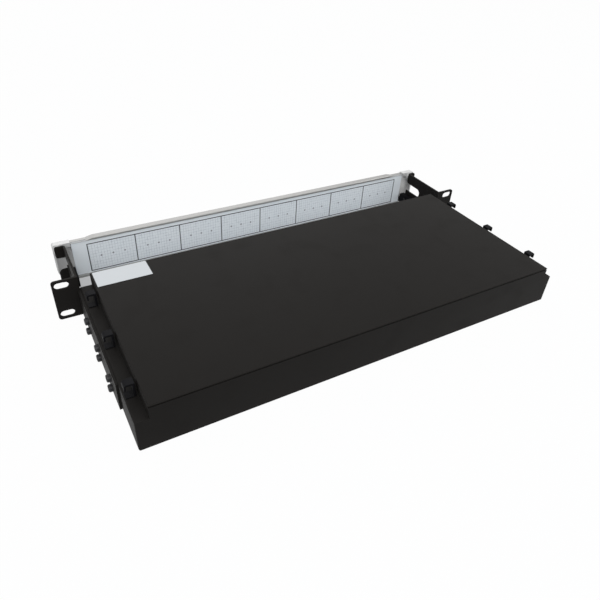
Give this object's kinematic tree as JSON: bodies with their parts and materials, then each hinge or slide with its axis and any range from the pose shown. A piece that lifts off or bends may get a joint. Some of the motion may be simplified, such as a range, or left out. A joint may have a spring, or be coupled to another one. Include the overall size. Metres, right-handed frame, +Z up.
{
  "type": "fibre patch panel",
  "caption": "One rack unit fibre patch panel: shallow black steel case with slide-out cassettes, side cable hooks, and a hinged aluminium door that carries a port label sheet.",
  "frame": {"origin": "midway between the four rack slots, on the rear face of the ears, where they meet the rack", "axes": "+X to the right hand of someone facing the door, +Y to the back of the case, +Z up"},
  "size_m": [0.4826, 0.252, 0.044],
  "materials": {
    "powder_coat": "fine-textured satin black powder coat",
    "screw_black": "black oxide steel",
    "hook_black": "moulded black nylon",
    "door_silver": "satin anodised",
    "cap_silver": "moulded, silver painted",
    "carrier": "smooth",
    "paper": "printed paper sheet under a clear film",
    "sticker": "blank polyester label",
    "pin_steel": "ground",
    "magnet": "nickel plated",
    "divider_black": "moulded",
    "cassette_black": "moulded",
    "lid_grey": "moulded",
    "adapter_aqua": "moulded",
    "dust_cap": "milky moulded",
    "spool_black": "moulded"
  },
  "bodies": {
    "chassis": {"base_pan": "powder_coat", "top_cover": "powder_coat", "cover_screws": "screw_black", "asset_label": "sticker", "left_bracket": "powder_coat", "right_bracket": "powder_coat", "left_bracket_screws": "screw_black", "right_bracket_screws": "screw_black", "left_cable_hooks": "hook_black", "right_cable_hooks": "hook_black", "left_hinge_block": "hook_black", "right_hinge_block": "hook_black", "left_hinge_pin": "pin_steel", "right_hinge_pin": "pin_steel", "left_hinge_rivets": "screw_black", "right_hinge_rivets": "screw_black", "left_fibre_spool": "spool_black", "right_fibre_spool": "spool_black", "left_trunk_clip": "hook_black", "right_trunk_clip": "hook_black", "cassette_dividers": "divider_black"},
    "door": {"front_door": "door_silver", "label_panel": "carrier", "label_sheet": "paper", "left_door_cap": "cap_silver", "right_door_cap": "cap_silver", "left_door_magnet": "magnet", "right_door_magnet": "magnet"},
    "cassette_1": {"cassette_1_body": "cassette_black", "cassette_1_lid": "lid_grey", "cassette_1_adapters": "adapter_aqua", "cassette_1_dust_caps": "dust_cap"},
    "cassette_2": {"cassette_2_body": "cassette_black", "cassette_2_lid": "lid_grey", "cassette_2_adapters": "adapter_aqua", "cassette_2_dust_caps": "dust_cap"},
    "cassette_3": {"cassette_3_body": "cassette_black", "cassette_3_lid": "lid_grey", "cassette_3_adapters": "adapter_aqua", "cassette_3_dust_caps": "dust_cap"},
    "cassette_4": {"cassette_4_body": "cassette_black", "cassette_4_lid": "lid_grey", "cassette_4_adapters": "adapter_aqua", "cassette_4_dust_caps": "dust_cap"},
    "cassette_5": {"cassette_5_body": "cassette_black", "cassette_5_lid": "lid_grey", "cassette_5_adapters": "adapter_aqua", "cassette_5_dust_caps": "dust_cap"},
    "cassette_6": {"cassette_6_body": "cassette_black", "cassette_6_lid": "lid_grey", "cassette_6_adapters": "adapter_aqua", "cassette_6_dust_caps": "dust_cap"},
    "cassette_7": {"cassette_7_body": "cassette_black", "cassette_7_lid": "lid_grey", "cassette_7_adapters": "adapter_aqua", "cassette_7_dust_caps": "dust_cap"},
    "cassette_8": {"cassette_8_body": "cassette_black", "cassette_8_lid": "lid_grey", "cassette_8_adapters": "adapter_aqua", "cassette_8_dust_caps": "dust_cap"}
  },
  "joints": [
    {"name": "door_hinge", "type": "hinge", "parent": "chassis", "child": "door", "pos_m": [0, -0.0668, -0.0166], "axis": [1, 0, 0], "range_deg": [0, 90]},
    {"name": "cassette_1_slide", "type": "slide", "parent": "chassis", "child": "cassette_1", "axis": [0, -1, 0], "range_m": [0, 0.045]},
    {"name": "cassette_2_slide", "type": "slide", "parent": "chassis", "child": "cassette_2", "axis": [0, -1, 0], "range_m": [0, 0.045]},
    {"name": "cassette_3_slide", "type": "slide", "parent": "chassis", "child": "cassette_3", "axis": [0, -1, 0], "range_m": [0, 0.045]},
    {"name": "cassette_4_slide", "type": "slide", "parent": "chassis", "child": "cassette_4", "axis": [0, -1, 0], "range_m": [0, 0.045]},
    {"name": "cassette_5_slide", "type": "slide", "parent": "chassis", "child": "cassette_5", "axis": [0, -1, 0], "range_m": [0, 0.045]},
    {"name": "cassette_6_slide", "type": "slide", "parent": "chassis", "child": "cassette_6", "axis": [0, -1, 0], "range_m": [0, 0.045]},
    {"name": "cassette_7_slide", "type": "slide", "parent": "chassis", "child": "cassette_7", "axis": [0, -1, 0], "range_m": [0, 0.045]},
    {"name": "cassette_8_slide", "type": "slide", "parent": "chassis", "child": "cassette_8", "axis": [0, -1, 0], "range_m": [0, 0.045]}
  ]
}
